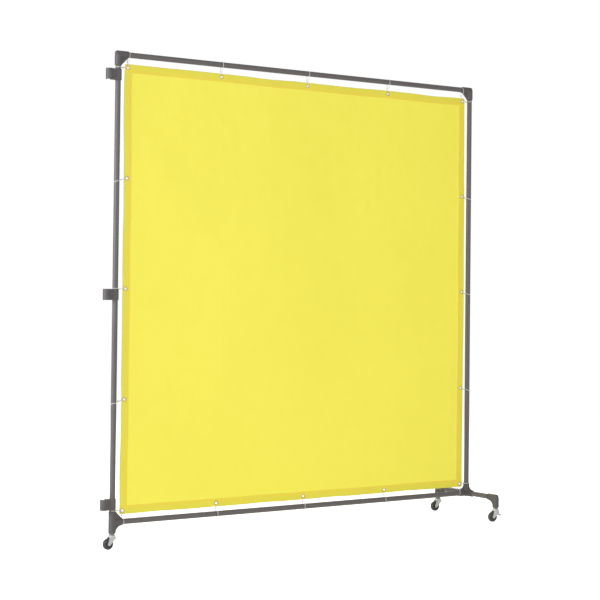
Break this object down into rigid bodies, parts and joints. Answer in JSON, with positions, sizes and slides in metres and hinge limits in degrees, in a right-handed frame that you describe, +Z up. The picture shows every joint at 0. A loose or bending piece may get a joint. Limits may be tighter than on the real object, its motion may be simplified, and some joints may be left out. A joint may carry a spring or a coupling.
{
  "type": "welding curtain screen",
  "caption": "Tall framed screen on swivel casters: a tinted vinyl sheet tied by its eyelets into a pipe frame, with side clips that join it to the next screen.",
  "frame": {"origin": "middle of the footprint, on the floor", "axes": "+X runs along the screen from the clip side to the side with the two feet, +Y points behind the screen, +Z is up"},
  "size_m": [2.1674, 0.4926, 2.2362],
  "materials": {
    "pipe_coating": "dark grey plastic coat on steel pipe, satin",
    "joint_plastic": "dark grey moulded plastic, satin",
    "clip_plastic": "dark grey moulded plastic, satin",
    "sheet_vinyl": "yellow translucent soft vinyl, glossy",
    "tie_nylon": "natural white nylon, satin",
    "zinc_plate": "bright zinc plated steel, satin",
    "hub_plastic": "dark grey plastic, satin",
    "tyre_rubber": "dark rubber, matt"
  },
  "bodies": {
    "frame": {"top_pipe": "pipe_coating", "bottom_pipe": "pipe_coating", "left_upright": "pipe_coating", "right_upright": "pipe_coating", "front_foot_pipe": "pipe_coating", "rear_foot_pipe": "pipe_coating", "top_left_elbow": "joint_plastic", "top_right_elbow": "joint_plastic", "bottom_left_tee": "joint_plastic", "bottom_right_cross": "joint_plastic", "front_foot_elbow": "joint_plastic", "rear_foot_elbow": "joint_plastic", "curtain_sheet": "sheet_vinyl", "left_tie_1": "tie_nylon", "left_tie_2": "tie_nylon", "left_tie_3": "tie_nylon", "left_tie_4": "tie_nylon", "left_tie_5": "tie_nylon", "top_tie_1": "tie_nylon", "top_tie_2": "tie_nylon", "top_tie_3": "tie_nylon", "top_tie_4": "tie_nylon", "top_tie_5": "tie_nylon", "right_tie_1": "tie_nylon", "right_tie_2": "tie_nylon", "right_tie_3": "tie_nylon", "right_tie_4": "tie_nylon", "right_tie_5": "tie_nylon", "bottom_tie_1": "tie_nylon", "bottom_tie_2": "tie_nylon", "bottom_tie_3": "tie_nylon", "bottom_tie_4": "tie_nylon", "bottom_tie_5": "tie_nylon", "left_caster_stem": "zinc_plate", "left_caster_bearing": "zinc_plate", "front_caster_stem": "zinc_plate", "front_caster_bearing": "zinc_plate", "rear_caster_stem": "zinc_plate", "rear_caster_bearing": "zinc_plate"},
    "left_caster": {"left_caster_fork": "zinc_plate", "left_caster_axle": "zinc_plate", "left_caster_bush": "zinc_plate"},
    "left_wheel": {"left_wheel_hub": "hub_plastic", "left_wheel_tyre": "tyre_rubber"},
    "front_caster": {"front_caster_fork": "zinc_plate", "front_caster_axle": "zinc_plate", "front_caster_bush": "zinc_plate", "front_brake_pin": "zinc_plate"},
    "front_wheel": {"front_wheel_hub": "hub_plastic", "front_wheel_tyre": "tyre_rubber"},
    "rear_caster": {"rear_caster_fork": "zinc_plate", "rear_caster_axle": "zinc_plate", "rear_caster_bush": "zinc_plate"},
    "rear_wheel": {"rear_wheel_hub": "hub_plastic", "rear_wheel_tyre": "tyre_rubber"},
    "brake_pedal": {"front_brake_pedal": "zinc_plate"},
    "top_clip": {"top_clip": "clip_plastic"},
    "middle_clip": {"middle_clip": "clip_plastic"},
    "bottom_clip": {"bottom_clip": "clip_plastic"}
  },
  "joints": [
    {"name": "left_caster_swivel", "type": "hinge", "parent": "frame", "child": "left_caster", "pos_m": [-1.02371, 0, 0.06], "axis": [0, 0, 1], "continuous": true},
    {"name": "left_wheel_roll", "type": "hinge", "parent": "left_caster", "child": "left_wheel", "pos_m": [-1.04363, -0.00174, 0.025], "axis": [-0.0872, 0.9962, 0], "continuous": true},
    {"name": "front_caster_swivel", "type": "hinge", "parent": "frame", "child": "front_caster", "pos_m": [1.04629, -0.23, 0.06], "axis": [0, 0, 1], "continuous": true},
    {"name": "front_wheel_roll", "type": "hinge", "parent": "front_caster", "child": "front_wheel", "pos_m": [1.02632, -0.22895, 0.025], "axis": [0.0523, 0.9986, 0], "continuous": true},
    {"name": "rear_caster_swivel", "type": "hinge", "parent": "frame", "child": "rear_caster", "pos_m": [1.04629, 0.23, 0.06], "axis": [0, 0, 1], "continuous": true},
    {"name": "rear_wheel_roll", "type": "hinge", "parent": "rear_caster", "child": "rear_wheel", "pos_m": [1.0263, 0.23052, 0.025], "axis": [0.0262, 0.9997, 0], "continuous": true},
    {"name": "brake_press", "type": "hinge", "parent": "front_caster", "child": "brake_pedal", "pos_m": [1.05628, -0.23052, 0.042], "axis": [0.0523, 0.9986, 0], "range_deg": [0, 14]},
    {"name": "top_clip_swing", "type": "hinge", "parent": "frame", "child": "top_clip", "pos_m": [-1.02371, 0, 2.128], "axis": [0, 0, 1], "range_deg": [-90, 90]},
    {"name": "middle_clip_swing", "type": "hinge", "parent": "frame", "child": "middle_clip", "pos_m": [-1.02371, 0, 1.138], "axis": [0, 0, 1], "range_deg": [-90, 90]},
    {"name": "bottom_clip_swing", "type": "hinge", "parent": "frame", "child": "bottom_clip", "pos_m": [-1.02371, 0, 0.2], "axis": [0, 0, 1], "range_deg": [-90, 90]}
  ]
}
